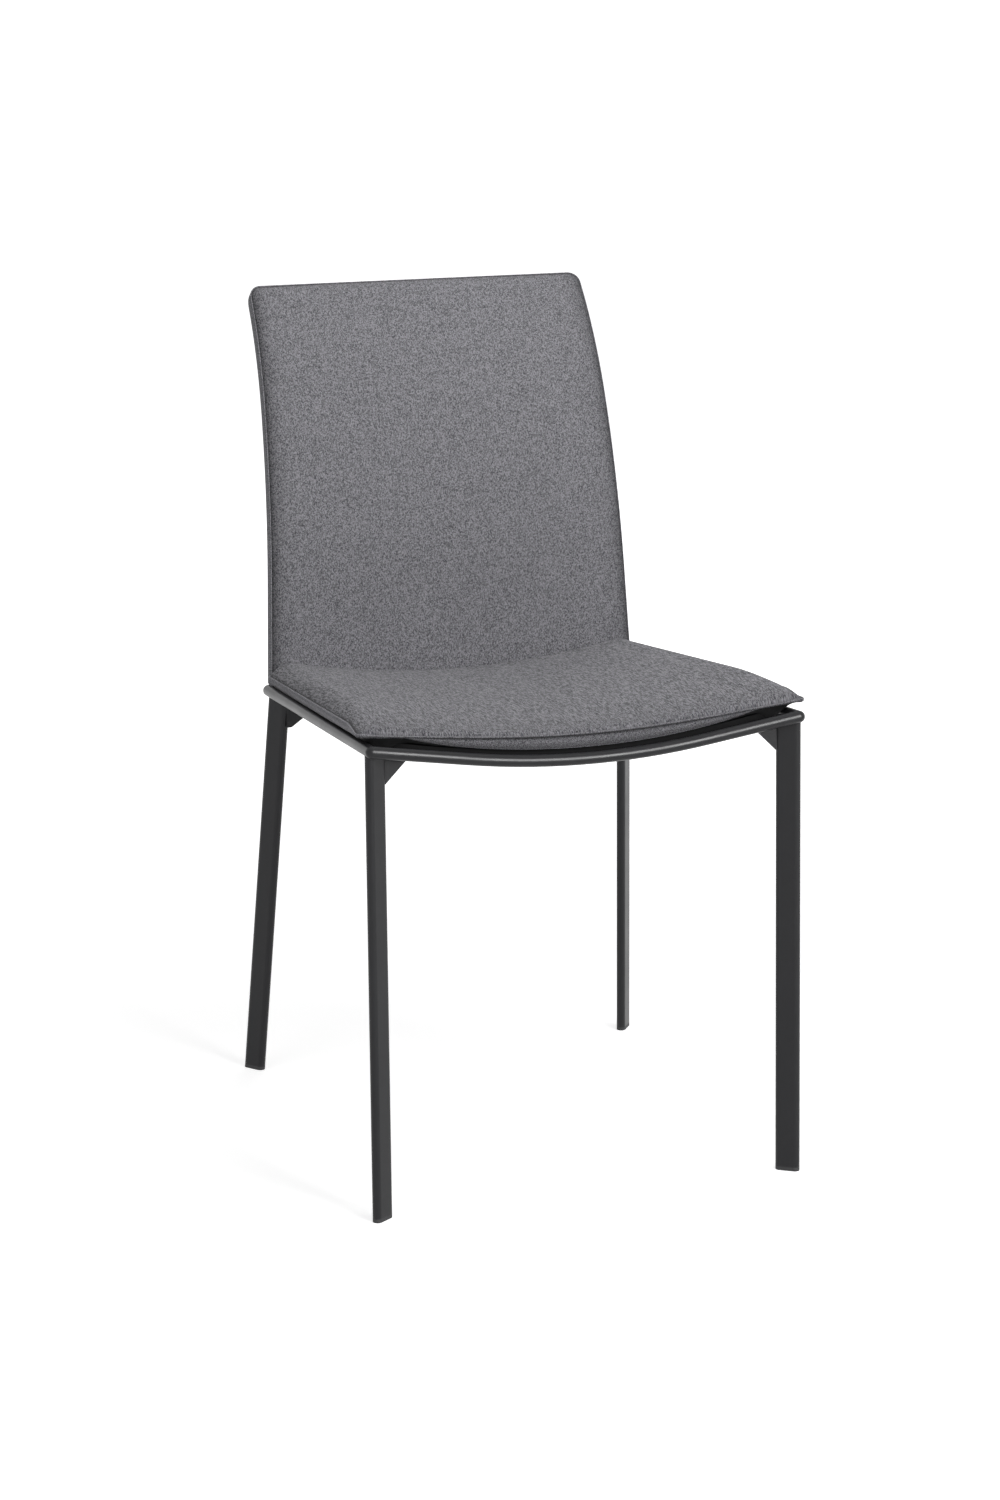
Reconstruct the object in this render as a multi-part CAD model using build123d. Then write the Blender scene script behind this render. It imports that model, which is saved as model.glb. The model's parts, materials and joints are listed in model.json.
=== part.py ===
from build123d import *
import os
from math import asin, atan, cos, degrees, radians, sin, sqrt, tan

# Dining chair: a padded seat and back on a welded frame of steel rod and flat-oval legs.
# Millimetres. The front faces -Y, Z is up, and left is the sitter's left, +X.
# The seat is worked out on the ring plane: origin on the front rail between the front corners,
# Y along the slope to the back, Z square to the ring.

# Ring of steel rod, on the rod's centreline
ring_front_width = 441.8
ring_rear_width = 406.0
ring_depth = 436.8
ring_front_height = 472.8
seat_slope = 5.25           # degrees, down towards the back
rail_fall = 8.4             # degrees, how steeply the front rail leaves its corners
rail_corner_run = 98.0      # straight run of the front rail at each corner
rail_return = 40.0          # front and rear rails run this far round onto the sides
rod_diameter = 12.0

# Legs of flat-oval tube, each set across its corner
leg_width = 25.0
leg_thickness = 10.0
leg_wall = 1.5
leg_cap = 6.0               # closed length at the top of the tube
front_leg_inset = (6.5, 11.5)   # ring corner to leg axis, inwards and along
rear_leg_inset = (8.9, 11.9)
front_leg_turn = 35.0       # degrees from X
rear_leg_turn = 52.5
foot_spacing = 431.0        # left to right
foot_depth = 477.0          # front to rear
front_foot_reach = 6.2      # ahead of the front rail

# Glides under the tubes
glide_height = 4.0
glide_plug = 16.0
glide_clearance = 0.15

# Corner plates on the inner edges of the legs
front_gusset = (33.0, 35.0)     # width, and depth below the ring
rear_gusset = (51.0, 38.5)
gusset_thickness = 3.0
gusset_drop = 7.0           # ring to upper edge
gusset_start = 16.0         # behind the front rail, and ahead of the rear one

# Seat
seat_setback = 5.0          # front rail to front edge
seat_front_width = 455.0
seat_rear_width = 408.0
seat_gap = 3.1              # front rail to underside, at the middle
seat_saddle_radius = 1015.0
seat_dish_radius = 1360.0   # of the top, across the seat
seat_front_height = 13.5    # middle of the front edge
seat_middle_height = 24.5
seat_rear_drop = 1.5
seat_roll = 90.0            # length over which the front edge rolls down
seat_shoulder_slope = 45.0  # degrees from upright, of the top beside the side seams
seat_band = 11.0
seat_draw = 1.5             # how far the band draws in to its lower edge
crease_gap = 0.5            # between seat and back
cover_thickness = 1.5
cover_gap = 0.3
under_cover_thickness = 2.0
seat_board_thickness = 8.0  # under the pad, on the tabs
seat_board_inset = 16.0
seat_board_setback = 15.0   # pad overhang at the front edge
seat_board_corner = 30.0

# Seat carriers
tab_places = {"front": 95.0, "rear": 340.0}     # along the ring plane
tab_width = 30.0
tab_thickness = 4.0
tab_reach = 24.0            # side rail to the line on which the board rests
tab_tail = 14.0             # that line to the inner end

# Back: a straight foot, then two bends backwards, along its front seam
back_gap = 3.7              # ring to lower edge
back_setback = 11.0         # rear rail to front seam, at the lower edge
back_lean = 6.2             # degrees from upright
back_foot_length = 100.0
back_lower_radius = 750.0
back_lower_turn = 14.3      # degrees
back_upper_radius = 370.0
back_upper_turn = 21.9
back_bottom_width = 404.0
back_top_width = 370.0
back_thickness = 16.0
back_crown = 5.0
back_corner = 10.0
back_board_thickness = 12.0
back_board_inset = 8.0
back_board_corner = 8.0
back_board_room = 0.5
rear_cover_edge = 1.5
rear_cover_crown = 5.0

# Uprights that carry the back
stay_place = 110.0          # from the middle
stay_width = 36.0
stay_thickness = 3.0
stay_height = 95.0          # above the lower edge of the back
stay_room = 0.5

rod_radius = rod_diameter / 2
front_half = ring_front_width / 2
rear_half = ring_rear_width / 2
slope = radians(seat_slope)
fall = radians(rail_fall)
ring_plane = Location((0, 0, ring_front_height), (-seat_slope, 0, 0))
span = 4 * ring_depth       # reaches past the whole chair


def between(start, end, share):
    """Value part of the way from start to end."""
    return start + (end - start) * share


def solid_of(shape):
    """The single solid in a built shape."""
    return shape.solids().sort_by(SortBy.VOLUME)[-1]


def on_ring(shape):
    """Shape worked out on the ring plane, put in its place."""
    return ring_plane * shape


def other_side(shape):
    """The same piece on the other side of the chair."""
    return mirror(shape, Plane.YZ)


def both_sides(pieces):
    """Pieces of the left side with their copies on the right."""
    return pieces + [other_side(piece) for piece in pieces]


# Ring

rail_bend_radius = (front_half / cos(fall) - rail_corner_run) / tan(fall)
rail_apex = -front_half * tan(fall)
front_dip = -rail_apex - rail_bend_radius * (1 / cos(fall) - 1)


def side_x(y):
    """Centreline of a side rail at a place along the ring plane."""
    return between(front_half, rear_half, y / ring_depth)


def rod_along(edges, corners=()):
    """Round rod along lines and arcs, rounded by a ball where it turns a tight corner."""
    pieces = [Pos(corner) * Sphere(rod_radius) for corner in corners]
    for edge in edges:
        start = edge @ 0
        heading = edge % 0
        end = Plane(start, z_dir=heading) * Circle(rod_radius)
        if edge.geom_type == GeomType.LINE:
            pieces.append(extrude(end, edge.length))
        else:
            axis = Axis(edge.arc_center, (start - edge.arc_center).cross(heading))
            pieces.append(revolve(end, axis, degrees(edge.length / edge.radius)))
    rod = pieces[0]
    for piece in pieces[1:]:
        rod = rod + piece
    return solid_of(rod)


def cross_rail(corner_half, corner_y, end, middle):
    """Rail across the chair along its middle edges, turned at both corners onto the sides."""
    corners = [(side * corner_half, corner_y, 0) for side in (-1, 1)]
    returns = [Line(corner, (side * side_x(end), end, 0)) for side, corner in zip((-1, 1), corners)]
    return rod_along(returns + middle(*corners).edges(), corners)


def dipped(left, right):
    """Front rail's line, straight from both corners and bent in the middle."""
    return FilletPolyline(left, (0, 0, rail_apex), right, radius=rail_bend_radius)


def side_rail():
    """Left side rail, butted between the returns of the front and rear rails."""
    end = ring_depth - rail_return
    return rod_along([Line((side_x(rail_return), rail_return, 0), (side_x(end), end, 0))])


front_rail = on_ring(cross_rail(front_half, 0, rail_return, dipped))
rear_rail = on_ring(cross_rail(rear_half, ring_depth, ring_depth - rail_return, Line))
left_side_rail = on_ring(side_rail())


# Legs and glides

def leg_axis(corner_half, corner_y, inset, direction, foot_y):
    """Top of a left leg's axis beside its ring corner, and its foot on the floor."""
    inwards, along = inset
    top = on_ring(Vertex(corner_half - inwards, corner_y + direction * along, 0)).center()
    return top, Vector(foot_spacing / 2, foot_y, 0)


def slanted(shrink, foot, top, turn, low, high):
    """Flat-oval bar along a leg's axis, its wall drawn in by shrink, cut level at two heights."""
    axis = top - foot
    place = Plane(foot, x_dir=(cos(radians(turn)), sin(radians(turn)), 0), z_dir=axis)
    section = SlotOverall(leg_width - 2 * shrink, leg_thickness - 2 * shrink)
    bar = extrude(place * section, 2 * axis.length, both=True)
    level = Pos(0, 0, (low + high) / 2) * Box(span, span, high - low)
    return solid_of(bar & level)


def leg(foot, top, turn, rail):
    """Hollow leg, coped to the rail that it carries."""
    tube = slanted(0, foot, top, turn, glide_height, top.Z)
    bore = slanted(leg_wall, foot, top, turn, 0, top.Z - leg_cap)
    return solid_of(tube - bore - rail)


def glide(foot, top, turn):
    """Foot plug: a plate of the tube's outline and a plug inside the tube."""
    plate = slanted(0, foot, top, turn, 0, glide_height)
    plug = slanted(leg_wall + glide_clearance, foot, top, turn, glide_height, glide_height + glide_plug)
    return solid_of(plate + plug)


rear_foot_y = foot_depth - front_foot_reach
front_top, front_foot = leg_axis(front_half, 0, front_leg_inset, 1, -front_foot_reach)
rear_top, rear_foot = leg_axis(rear_half, ring_depth, rear_leg_inset, -1, rear_foot_y)
front_left_leg = leg(front_foot, front_top, -front_leg_turn, front_rail)
rear_left_leg = leg(rear_foot, rear_top, rear_leg_turn, rear_rail)
front_left_glide = glide(front_foot, front_top, -front_leg_turn)
rear_left_glide = glide(rear_foot, rear_top, rear_leg_turn)


# Corner plates

def gusset(leg_x, turn, size, near_y, leg_solid):
    """Corner plate inwards from a left leg's inner edge, coped to the leg."""
    width, depth = size
    outer = leg_x - (leg_width - leg_thickness) / 2 * cos(radians(turn))
    outline = make_face(Polyline(
        (outer, -gusset_drop),
        (outer - width, -gusset_drop),
        (outer - leg_thickness / 2, -depth),
        (outer, -depth),
        close=True,
    ))
    place = Plane((0, near_y, 0), x_dir=(1, 0, 0), z_dir=(0, -1, 0))
    plate = on_ring(extrude(place * outline, -gusset_thickness))
    return solid_of(plate - leg_solid)


rear_gusset_start = ring_depth - gusset_start - gusset_thickness
front_left_gusset = gusset(front_top.X, front_leg_turn, front_gusset, gusset_start, front_left_leg)
rear_left_gusset = gusset(rear_top.X, rear_leg_turn, rear_gusset, rear_gusset_start, rear_left_leg)


# Back: its line, and places on it

back_start = Vector(
    0,
    ring_depth * cos(slope) - back_setback,
    ring_front_height - ring_depth * sin(slope) + rod_radius + back_gap,
)
lower_length = back_lower_radius * radians(back_lower_turn)
upper_length = back_upper_radius * radians(back_upper_turn)
lower_end = back_foot_length + lower_length
back_length = lower_end + upper_length


def back_place(along):
    """Point and lean, in radians, of the front seam at a length along the back."""
    lean = radians(back_lean)
    straight = min(along, back_foot_length)
    point = back_start + Vector(0, sin(lean), cos(lean)) * straight
    left_over = along - straight
    for length, radius in ((lower_length, back_lower_radius), (upper_length, back_upper_radius)):
        step = min(left_over, length)
        end = lean + step / radius
        point += Vector(0, cos(lean) - cos(end), sin(end) - sin(lean)) * radius
        lean = end
        left_over -= step
    return point, lean


def back_plane(along):
    """Plane across the back: X along X, Y towards the rear."""
    point, lean = back_place(along)
    return Plane(point, x_dir=(1, 0, 0), z_dir=(0, sin(lean), cos(lean)))


def back_bend(section, along, radius, length):
    """Section carried round a bend of the back."""
    point, lean = back_place(along)
    centre = point + Vector(0, cos(lean), -sin(lean)) * radius
    return revolve(back_plane(along) * section, Axis(centre, (-1, 0, 0)), degrees(length / radius))


def along_back(section, start, end):
    """Section carried up the back: the straight foot and both bends."""
    foot = extrude(back_plane(start) * section, back_foot_length - start)
    lower = back_bend(section, back_foot_length, back_lower_radius, lower_length)
    upper = back_bend(section, lower_end, back_upper_radius, end - lower_end)
    return foot + lower + upper


back_top = back_place(back_length)[0]


def back_outline(inset):
    """Everything inside the back's outline as seen from the front, which narrows evenly upwards."""
    low = between(back_start.Z, back_top.Z, -1)
    high = between(back_start.Z, back_top.Z, 2)
    low_half = between(back_bottom_width, back_top_width, -1) / 2 - inset
    high_half = between(back_bottom_width, back_top_width, 2) / 2 - inset
    face = make_face(Polyline(
        (-low_half, low), (low_half, low), (high_half, high), (-high_half, high), close=True))
    return extrude(Plane.XZ * face, span, both=True)


def back_solid(section, inset, corner):
    """Section carried up the back, cut to the outline, with both top corners rounded."""
    solid = solid_of(along_back(section, inset, back_length - inset) & back_outline(inset))
    top_face = solid.faces().sort_by(Axis.Z)[-1]
    ends = top_face.edges().sort_by(Axis.X)
    return fillet([ends[0], ends[-1]], corner)


def back_front(inset, depth):
    """Section with a crowned front, its rear at a depth behind the front seam."""
    half = back_bottom_width / 2
    return make_face([
        ThreePointArc((-half, inset), (0, inset - back_crown), (half, inset)),
        Polyline((half, inset), (half, depth), (-half, depth), (-half, inset)),
    ])


def back_form(inset, depth):
    """Back's soft form, drawn in by inset, its rear at a depth behind the front seam."""
    return back_solid(back_front(inset, depth), inset, back_corner - inset)


def flat_section(front, rear):
    """Flat section between two depths."""
    return Pos(0, (front + rear) / 2) * Rectangle(back_bottom_width, rear - front)


board_rear = back_thickness + cover_gap
board_front = board_rear - back_board_thickness


def back_stay(grow=0.0):
    """Left steel upright, from the rear rail's centreline up; grown it is the room that it needs."""
    lean = radians(back_lean)
    depth = board_rear + stay_thickness / 2
    rail_z = ring_front_height - ring_depth * sin(slope)
    bottom = (rail_z - back_start.Z + depth * sin(lean)) / cos(lean)
    block = Box(stay_width + 2 * grow, stay_thickness + 2 * grow, stay_height - bottom + 2 * grow)
    return back_plane(0) * (Pos(stay_place, depth, (bottom + stay_height) / 2) * block)


left_back_stay = solid_of(back_stay() - rear_rail)
back_board = back_solid(flat_section(board_front, board_rear), back_board_inset, back_board_corner)
back_cover = solid_of(back_form(0, back_thickness) - back_form(cover_thickness, 2 * back_thickness))
board_room = back_solid(
    flat_section(board_front - back_board_room, 2 * back_thickness),
    back_board_inset - back_board_room,
    back_board_corner,
)
back_foam = solid_of(back_form(cover_thickness + cover_gap, back_thickness - cover_gap) - board_room)


def rear_section():
    """Section of the rear panel: flat on the board, crowned behind."""
    half = back_bottom_width / 2
    start = board_rear + cover_gap
    edge = start + rear_cover_edge
    return make_face([
        Polyline((-half, edge), (-half, start), (half, start), (half, edge)),
        ThreePointArc((-half, edge), (0, edge + rear_cover_crown), (half, edge)),
    ])


rear_panel = back_solid(rear_section(), 0, back_corner)
for room in both_sides([back_stay(stay_room)]):
    rear_panel = rear_panel - room
back_rear_cover = solid_of(rear_panel)


# Seat

seat_under = -front_dip + rod_radius + seat_gap
saddle_centre = seat_under + seat_saddle_radius
back_edge = ring_plane.inverse() * Vertex(back_start)
seat_end = back_edge.Y
seat_length = seat_end - seat_setback


def seat_half(y):
    """Half width of the seat."""
    return between(seat_front_width, seat_rear_width, (y - seat_setback) / seat_length) / 2


def saddle_height(x):
    """Height of the seat's curved underside."""
    return saddle_centre - sqrt(seat_saddle_radius ** 2 - x ** 2)


seat_seam = saddle_height(seat_half(seat_setback)) + seat_band


def seat_outline(inset, front, rear, corner=0.0):
    """Outline of the seat drawn in by inset between two places, seen square to the ring."""
    front_x = seat_half(front) - inset
    rear_x = seat_half(rear) - inset
    face = make_face(Polyline(
        (-front_x, front), (front_x, front), (rear_x, rear), (-rear_x, rear), close=True))
    return fillet(face.vertices(), corner) if corner else face


def saddle_above(lift):
    """Everything above a layer of the curved underside."""
    return Pos(0, 0, saddle_centre) * Rot(90, 0, 0) * Cylinder(seat_saddle_radius - lift, span)


def seat_layer(outline, low, high):
    """Curved sheet between two heights above the underside."""
    column = extrude(outline, seat_saddle_radius, both=True)
    return solid_of((column & saddle_above(low)) - saddle_above(high))


def drawn(z):
    """How far the sides of the seat are drawn in at a height, from the seam down."""
    return (seat_seam - z) * seat_draw / seat_band


def seat_column(inset):
    """Everything inside the sides of the seat, which draw in towards their lower edge."""
    foot = seat_seam - seat_roll
    foot_inset = inset + drawn(foot)
    outline = seat_outline(foot_inset, seat_setback + foot_inset, seat_end + seat_roll)
    taper = degrees(atan(seat_draw / seat_band))
    return Pos(0, 0, foot) * extrude(outline, 2 * seat_roll, taper=-taper)


def below_shoulders(inset):
    """Everything below the slanted shoulders, which rise from the side seams."""
    spread = seat_roll * tan(radians(seat_shoulder_slope))
    outline = seat_outline(-spread, seat_setback - spread, seat_end + spread)
    roof = Pos(0, 0, -seat_roll) * extrude(outline, 2 * seat_roll, taper=seat_shoulder_slope)
    rear_seam = saddle_height(seat_half(seat_end)) + seat_band
    tilt = degrees(atan((seat_seam - rear_seam) / seat_length))
    drop = inset / sin(radians(seat_shoulder_slope))
    return Pos(0, 0, seat_seam - drop) * (Rot(-tilt, 0, 0) * roof)


def below_top(inset):
    """Everything below the dished top: a profile along the seat, turned about the dish's axis."""
    top = seat_under + seat_middle_height - inset
    start = (seat_setback + inset, seat_under + seat_front_height - inset)
    crest = (seat_setback + seat_roll, top)
    end = (seat_end + seat_roll, top - seat_rear_drop)
    roll = TangentArc(crest, start, tangent=(-1, 0))
    crown = TangentArc(crest, end, tangent=(1, 0))
    depth = seat_under - seat_roll
    sides = Polyline(start, (start[0], depth), (end[0], depth), end)
    profile = Plane.YZ * make_face([roll, crown, sides])
    axis = Axis((0, 0, seat_under + seat_middle_height + seat_dish_radius), (0, 1, 0))
    sweep_angle = degrees(asin(seat_front_width / seat_dish_radius))
    return revolve(profile.rotate(axis, -sweep_angle), axis, 2 * sweep_angle)


def back_room(grow):
    """Everything behind the crowned front of the back's foot, moved forward by grow."""
    half = back_bottom_width / 2
    radius = (half ** 2 + back_crown ** 2) / (2 * back_crown)
    place = back_plane(-seat_roll) * Pos(0, radius - back_crown - grow)
    return ring_plane.inverse() * extrude(place * Circle(radius), 2 * seat_roll)


def seat_form(inset, lift):
    """Seat's soft form, drawn in all round by inset, its underside raised by lift."""
    form = seat_column(inset) & below_top(inset) & below_shoulders(inset) & saddle_above(lift)
    return solid_of(form - back_room(crease_gap + inset))


under_inset = 2 * seat_draw + cover_thickness + cover_gap
under_front = seat_setback + drawn(seat_under) + cover_thickness + cover_gap
board_rear_end = seat_end - back_crown - seat_board_inset
foam_inset = cover_thickness + cover_gap
board_outline = seat_outline(
    seat_board_inset, seat_setback + seat_board_setback, board_rear_end, seat_board_corner)
under_outline = seat_outline(under_inset, under_front, board_rear_end + under_inset)

seat_board = seat_layer(board_outline, -seat_board_thickness, 0)
seat_under_cover = seat_layer(under_outline, cover_gap, under_cover_thickness)
seat_cover = solid_of(seat_form(0, 0) - seat_form(cover_thickness, -seat_band))
seat_foam = seat_form(foam_inset, under_cover_thickness + cover_gap)


# Seat carriers

def on_saddle(shape, x):
    """Piece worked out under the middle of the seat, turned round the saddle to x."""
    axis = Axis((0, 0, saddle_centre), (0, 1, 0))
    return shape.rotate(axis, -degrees(asin(x / seat_saddle_radius)))


def seat_tab(y):
    """Left tab, welded to the inner side of its side rail."""
    length = tab_reach + tab_tail
    height = seat_under - seat_board_thickness - tab_thickness / 2
    place = Pos((tab_reach - tab_tail) / 2, y, height)
    plate = place * Box(length, tab_width, tab_thickness)
    return solid_of(on_saddle(plate, side_x(y) - tab_reach) - side_rail())


# Every piece by name

nodes = {
    "front_rail": front_rail,
    "rear_rail": rear_rail,
    "seat_board": on_ring(seat_board),
    "seat_foam": on_ring(seat_foam),
    "seat_cover": on_ring(seat_cover),
    "seat_under_cover": on_ring(seat_under_cover),
    "back_board": back_board,
    "back_foam": back_foam,
    "back_cover": back_cover,
    "back_rear_cover": back_rear_cover,
}
left_pieces = {
    "{}_side_rail": left_side_rail,
    "front_{}_leg": front_left_leg,
    "rear_{}_leg": rear_left_leg,
    "front_{}_glide": front_left_glide,
    "rear_{}_glide": rear_left_glide,
    "front_{}_gusset": front_left_gusset,
    "rear_{}_gusset": rear_left_gusset,
    "{}_back_stay": left_back_stay,
}
for place, y in tab_places.items():
    left_pieces[place + "_{}_seat_tab"] = on_ring(seat_tab(y))
for name, piece in left_pieces.items():
    nodes[name.format("left")] = piece
    nodes[name.format("right")] = other_side(piece)

# The origin goes to the floor under the middle of the whole chair.
whole = Compound([solid for shape in nodes.values() for solid in shape.solids()]).bounding_box()
centred = Pos(0, -whole.center().Y, 0)

os.makedirs("parts", exist_ok=True)
for name, shape in nodes.items():
    export_step(centred * shape, f"parts/{name}.step")
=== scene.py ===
"""Dining chair: the upholstery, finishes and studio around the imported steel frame."""

import json
import math
from types import SimpleNamespace

import bpy
import numpy as np
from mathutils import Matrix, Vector


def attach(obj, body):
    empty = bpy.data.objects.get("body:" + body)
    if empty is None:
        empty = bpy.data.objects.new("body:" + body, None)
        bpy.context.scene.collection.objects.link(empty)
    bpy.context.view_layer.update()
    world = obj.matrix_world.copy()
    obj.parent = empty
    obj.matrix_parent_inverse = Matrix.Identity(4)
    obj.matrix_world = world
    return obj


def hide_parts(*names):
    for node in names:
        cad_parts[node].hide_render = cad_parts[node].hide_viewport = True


bl_info = {
    "name": "Dining chair looks",
    "version": (1, 0, 0),
    "blender": (4, 5, 0),
    "location": "View3D > Sidebar > Chair",
    "description": "Upholstery, finishes and a studio for a steel-framed dining chair",
    "category": "Object",
}

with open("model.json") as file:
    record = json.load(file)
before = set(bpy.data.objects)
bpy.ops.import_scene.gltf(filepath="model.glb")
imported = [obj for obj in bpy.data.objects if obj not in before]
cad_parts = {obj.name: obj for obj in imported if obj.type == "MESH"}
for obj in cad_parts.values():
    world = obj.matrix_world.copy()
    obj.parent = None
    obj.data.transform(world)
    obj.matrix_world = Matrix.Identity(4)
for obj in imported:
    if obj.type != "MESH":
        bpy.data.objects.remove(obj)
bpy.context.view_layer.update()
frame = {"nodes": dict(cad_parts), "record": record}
BODY = "root"
MM = 0.001

# Places of the steel frame that the upholstery is worked out from, in millimetres
RING_FRONT_Y = -276.3           # centreline of the front rail's corners
RING_FRONT_HEIGHT = 472.8
RING_SLOPE = math.radians(5.25)
SEAT_END = 424.4                # ring front to the back's front seam, along the slope
BACK_START = (147.7, 442.5)     # y and z of the back's lower front seam
BACK_LEAN = math.radians(6.2)
BACK_FOOT = 100.0               # straight length, then two bends
BACK_BENDS = ((750.0, math.radians(14.3)), (370.0, math.radians(21.9)))
BACK_LENGTH = BACK_FOOT + sum(radius * turn for radius, turn in BACK_BENDS)

# Heights along the seat's front edge, as a polynomial in (x / 200) squared, highest power first
FRONT_SEAM = (-3.5, 16.1, 14.2)     # the welt, over the middle of the underside
FRONT_BAND = (-7.4, -7.7, 14.2)     # the band below the welt
FRONT_UNIT = 200.0

# Length of a speck of the cloth along the warp: its width divided by this
SEAT_WARP = 0.14
BACK_WARP = 0.65
WEAVE_LAYER = 0.5                   # slice of the texture that lies in the cloth, off its lattice

# Tabs that carry the seat: along the ring, side rail to screw, ring plane to lower face at x = 0
TAB_PLACES = (95.0, 340.0)
TAB_REACH = 24.0
TAB_UNDER = -26.3
TAB_BEND = 1015.0
RING_HALF = (220.9, -17.9 / 436.8)  # half width at the front, and its change along the ring

# Edges of the pads, in millimetres
CORNER_REACH = 10.0                 # how far the thicker seam reaches from a front corner
LIP, CORNER_LIP = 0.9, 2.2          # top above its seam, and more of it at the front corners
WELT_HEIGHT, CORNER_WELT = 2.2, 2.6
BAND_LEAST = 2.0                    # the band is nowhere lower than this
# The black lining sags along the sides and behind the front corners to fill the gap over the rail with
# dark: a dark sheet as painted shade
SIDE_SAG, SIDE_SAG_IN, SIDE_SAG_REACH = 3.0, 11.0, 6.0      # lining below the board's sides
EAR_SAG, EAR_PLACE, EAR_REACH = 14.5, (203.0, 28.0), (13.0, 18.0)   # and behind the front corners
SAG_START = 10.0                    # the lining hangs down this far behind the front edge
NOSE, NOSE_LENGTH = 0.3, 8.0        # share of the front's fall that is a round nose, and its length
REAR_TUCK, REAR_TUCK_LENGTH = 1.5, 5.0  # top pressed down where it meets the back
FRONT_LIFT_LENGTH = 7.0             # lining drawn up to the front band
WELT_FADE = 3.0                     # length in which the seat's welt ends at the back
SEAT_MEETS_BACK = 10.0              # along the back's line
REAR_OPEN = 3.0                     # the seat's rear edge counts as this much further from a seam
FRONT_SLACK, FRONT_SLACK_LENGTH = 30.0, 12.0    # cloth that the rounded front takes up
REVERSE_SCALE = 0.985               # reverse of a pad against its face
TOP_ROUND, PANEL_ROUND = 9.0, 8.0   # rounded edges of the back's front and of its rear panel
CROWN_POWER = 2.6                   # flatness of the back's crown
PANEL_EASE = 1.0                    # the back's panels past the inner side of the welt
FRONT_PANEL_RISE, REAR_PANEL_RISE = 4.0, 2.5    # panels past the end of the back's line

# Painted shade at the pads' edges, where the cloth rolls into a seam, behind the seat's front and before
# the back, next to a seam partly the real dark of pressed cloth: how dark, and the length in millimetres
# over which it fades
SEAM_SHADE = (0.55, 2.2)
FRONT_SHADE = (0.28, 30.0)
REAR_SHADE = (0.12, 45.0)
BACK_SIDE_SHADE = (0.95, 7.5)
BACK_TOP_SHADE = (0.3, 2.0)

# Cloth simulation: pressure, frames, and millimetres held at a seam and from there to free
PRESSURE = 1.5
CLOTH_FRAMES = 20
SEAM_HELD, SEAM_TO_FREE = 4.0, 40.0
SEAT_SWELL, BACK_SWELL = 2.0, 1.5   # most that a point moves

# Lamps: place and size in metres, power in watts
LAMPS = {
    "overhead_lamp": ((0.6, -0.4, 2.8), (0.9, 0.9), 20.0),
    "key_lamp": ((1.2, -3.3, 2.0), (0.9, 2.6), 57.0),
    "fill_lamp": ((-2.8, -1.8, 1.5), (2.0, 2.0), 18.0),
    "strip_lamp": ((1.2, -3.3, 1.9), (0.9, 1.8), 150.0),
    "rear_lamp": ((1.6, 3.2, 1.7), (2.0, 2.0), 22.0),
}
LAMP_TARGET = (0, 0, 0.5)
WORLD_LEVEL = 0.22
FLOOR_REACH = 60.0
FLOOR_NEAR, FLOOR_FAR, FLOOR_GLOW = 0.6, 2.2, 0.69  # where the floor turns white, and its light before


def linear(code):
    """Linear colour with full alpha from an sRGB hex value."""
    channels = [int(code[i:i + 2], 16) / 255 for i in (1, 3, 5)]
    flat = [c / 12.92 if c <= 0.04045 else ((c + 0.055) / 1.055) ** 2.4 for c in channels]
    return (*flat, 1.0)


def size(name, description, default):
    """Length property that a user would change: its default is given in millimetres."""
    return bpy.props.FloatProperty(
        name=name, description=description, default=default * MM, unit="LENGTH", precision=4)


def share(name, description, default):
    """Property between 0 and 1."""
    return bpy.props.FloatProperty(
        name=name, description=description, default=default, min=0, max=1, subtype="FACTOR")


def colour(name, description, code):
    """Colour property from an sRGB hex value."""
    return bpy.props.FloatVectorProperty(
        name=name, description=description, default=linear(code), size=4, subtype="COLOR", min=0, max=1)


def place(name, description, default):
    """Point property in metres."""
    return bpy.props.FloatVectorProperty(
        name=name, description=description, default=default, size=3, subtype="TRANSLATION")


class ChairSeatSettings(bpy.types.PropertyGroup):
    """Sizes of the seat pad."""
    front_width: size("Front width", "Width along the front edge", 461.5)
    rear_width: size("Rear width", "Width along the rear edge", 411.0)
    setback: size("Setback", "Front rail to front edge", 8.5)
    corner: size("Corner", "Radius of the front corners", 4.0)
    underside: size("Underside", "Ring plane to the underside, at the middle", -14.3)
    saddle: size("Saddle radius", "Bend of the underside, across", 1015.0)
    thickness: size("Thickness", "Middle of the seat", 25.5)
    dish: size("Dish radius", "Bend of the top, across", 900.0)
    band: size("Band", "Height of the side band", 10.5)
    ear: size("Ear", "Height of the band at the front corners", 3.6)
    ear_length: size("Ear length", "Length along which the band shrinks to the corner", 45.0)
    shoulder: size("Shoulder", "Width over which the top falls to its side seams", 26.0)
    roll: size("Roll", "Length over which the top falls to its front seam", 130.0)
    welt: size("Welt", "Width of the welt that is sewn into the seam", 3.0)
    overhang: size("Overhang", "Welt past the edge of the pad", 1.4)


class ChairBackSettings(bpy.types.PropertyGroup):
    """Sizes of the back pad and its rear panel."""
    bottom_width: size("Bottom width", "Width at the lower edge", 404.0)
    top_width: size("Top width", "Width at the upper edge", 371.0)
    thickness: size("Thickness", "Front seam to rear seam", 16.0)
    crown: size("Crown", "How far the middle of the front stands out of its edges", 3.0)
    puff: size("Puff", "How far the edges of the front stand out of the seam", 4.2)
    shoulder: size("Shoulder", "Width of the rounded edge of the front", 16.0)
    corner: size("Corner", "Radius of the upper corners", 13.0)
    welt: size("Welt", "Width of the welt that is sewn into the seam", 1.6)
    rear_crown: size("Rear crown", "How far the rear panel stands out of its seams", 5.0)


class ChairScrewSettings(bpy.types.PropertyGroup):
    """Sizes of the screws under the seat."""
    head: size("Head", "Diameter of the head", 12.0)
    height: size("Height", "Height of the head", 3.3)
    socket: size("Socket", "Diameter of the socket", 4.0)


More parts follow.
